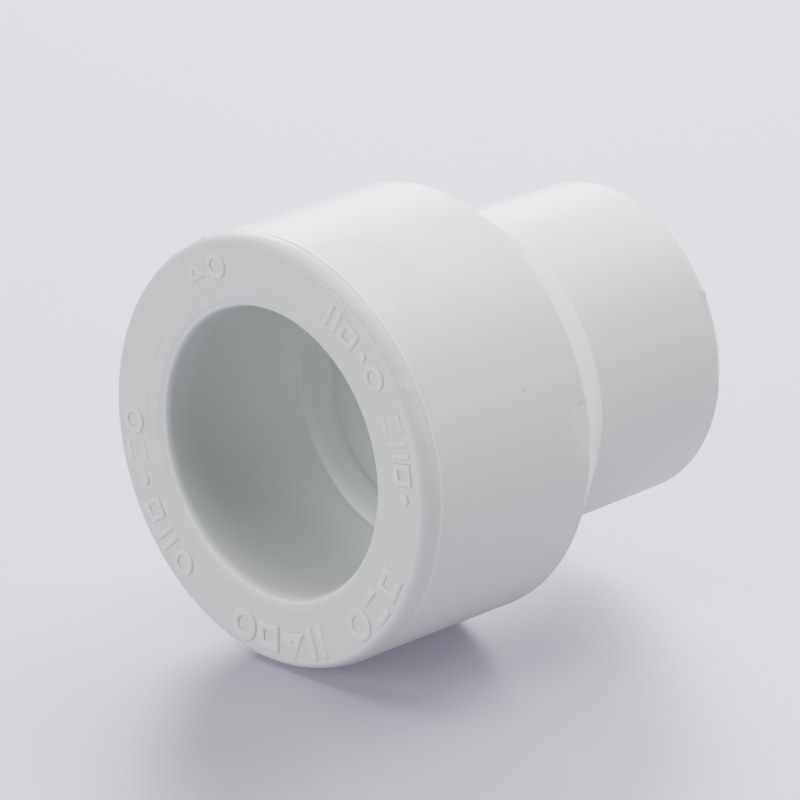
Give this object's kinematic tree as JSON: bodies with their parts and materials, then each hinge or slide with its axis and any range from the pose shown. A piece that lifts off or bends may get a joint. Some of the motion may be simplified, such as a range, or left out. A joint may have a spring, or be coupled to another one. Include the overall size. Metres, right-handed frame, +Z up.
{
  "type": "pipe reducer",
  "caption": "Concentric moulded plastic pipe reducer: a plain spigot end, a sloped shoulder and a smaller welding socket, open right through.",
  "frame": {"origin": "centre of the spigot's end face, on the pipe axis", "axes": "+X along the pipe axis, from the spigot's end face towards the socket's mouth; +Z up, with the reducer lying on its spigot"},
  "size_m": [0.0433, 0.04, 0.04],
  "materials": {
    "moulding": "satin off-white polypropylene with a faint grey-green tint",
    "raised_marks": "the same satin polypropylene, raised from the end face"
  },
  "bodies": {
    "root": {"spigot_end_ring": "moulding", "spigot_barrel": "moulding", "bore_ledge": "moulding", "shoulder_cone": "moulding", "pipe_stop": "moulding", "socket_barrel": "moulding", "socket_rim": "moulding", "cavity_mark": "raised_marks", "grade_mark": "raised_marks", "maker_mark": "raised_marks", "size_mark": "raised_marks"}
  },
  "joints": []
}
